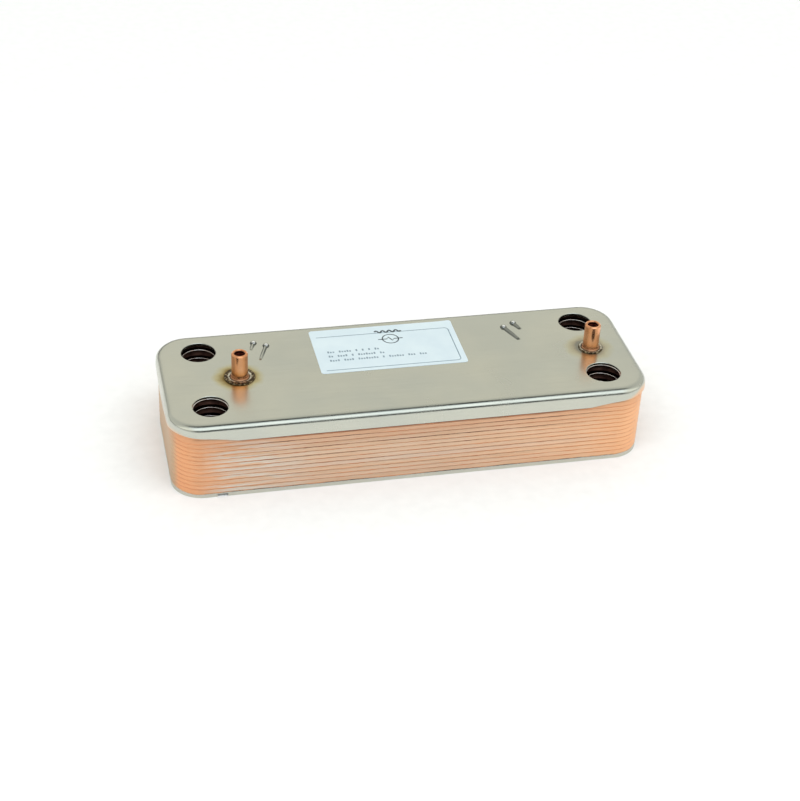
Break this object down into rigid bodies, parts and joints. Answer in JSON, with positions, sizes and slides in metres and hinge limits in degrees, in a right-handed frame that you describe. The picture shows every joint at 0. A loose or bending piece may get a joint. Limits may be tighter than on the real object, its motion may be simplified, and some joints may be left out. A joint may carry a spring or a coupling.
{
  "type": "plate heat exchanger",
  "caption": "Brazed plate heat exchanger: nested pressed trays between a covered front with corner water ports and threaded fixing sleeves, and a blind back cover.",
  "frame": {"origin": "centre of the rim that the back cover stands on", "axes": "+X along the length towards the right-hand ports, +Y across the width towards the far ports, +Z out of the port face"},
  "size_m": [0.2094, 0.0724, 0.0488],
  "materials": {
    "satin_steel": "satin cold-rolled stainless steel, slightly straw-tinted by the furnace",
    "copper_brazed_steel": "thin stainless sheet wetted with brazing copper along the skirts",
    "braze_copper": "solidified copper braze",
    "copper_plated_steel": "bright copper-plated steel weld sleeve",
    "weld_steel": "heat-tinted stud-weld bead",
    "label_film": "pale printed film label"
  },
  "bodies": {
    "root": {"front_cover_plate": "satin_steel", "front_sealing_plate": "satin_steel", "channel_plate_01": "copper_brazed_steel", "channel_plate_02": "copper_brazed_steel", "channel_plate_03": "copper_brazed_steel", "channel_plate_04": "copper_brazed_steel", "channel_plate_05": "copper_brazed_steel", "channel_plate_06": "copper_brazed_steel", "channel_plate_07": "copper_brazed_steel", "channel_plate_08": "copper_brazed_steel", "channel_plate_09": "copper_brazed_steel", "channel_plate_10": "copper_brazed_steel", "channel_plate_11": "copper_brazed_steel", "channel_plate_12": "copper_brazed_steel", "channel_plate_13": "copper_brazed_steel", "channel_plate_14": "copper_brazed_steel", "back_sealing_plate": "copper_brazed_steel", "back_cover_plate": "satin_steel", "near_left_braze_rings": "braze_copper", "near_right_braze_rings": "braze_copper", "far_left_braze_rings": "braze_copper", "far_right_braze_rings": "braze_copper", "left_threaded_sleeve": "copper_plated_steel", "right_threaded_sleeve": "copper_plated_steel", "left_weld_collar": "weld_steel", "right_weld_collar": "weld_steel", "label": "label_film"}
  },
  "joints": []
}
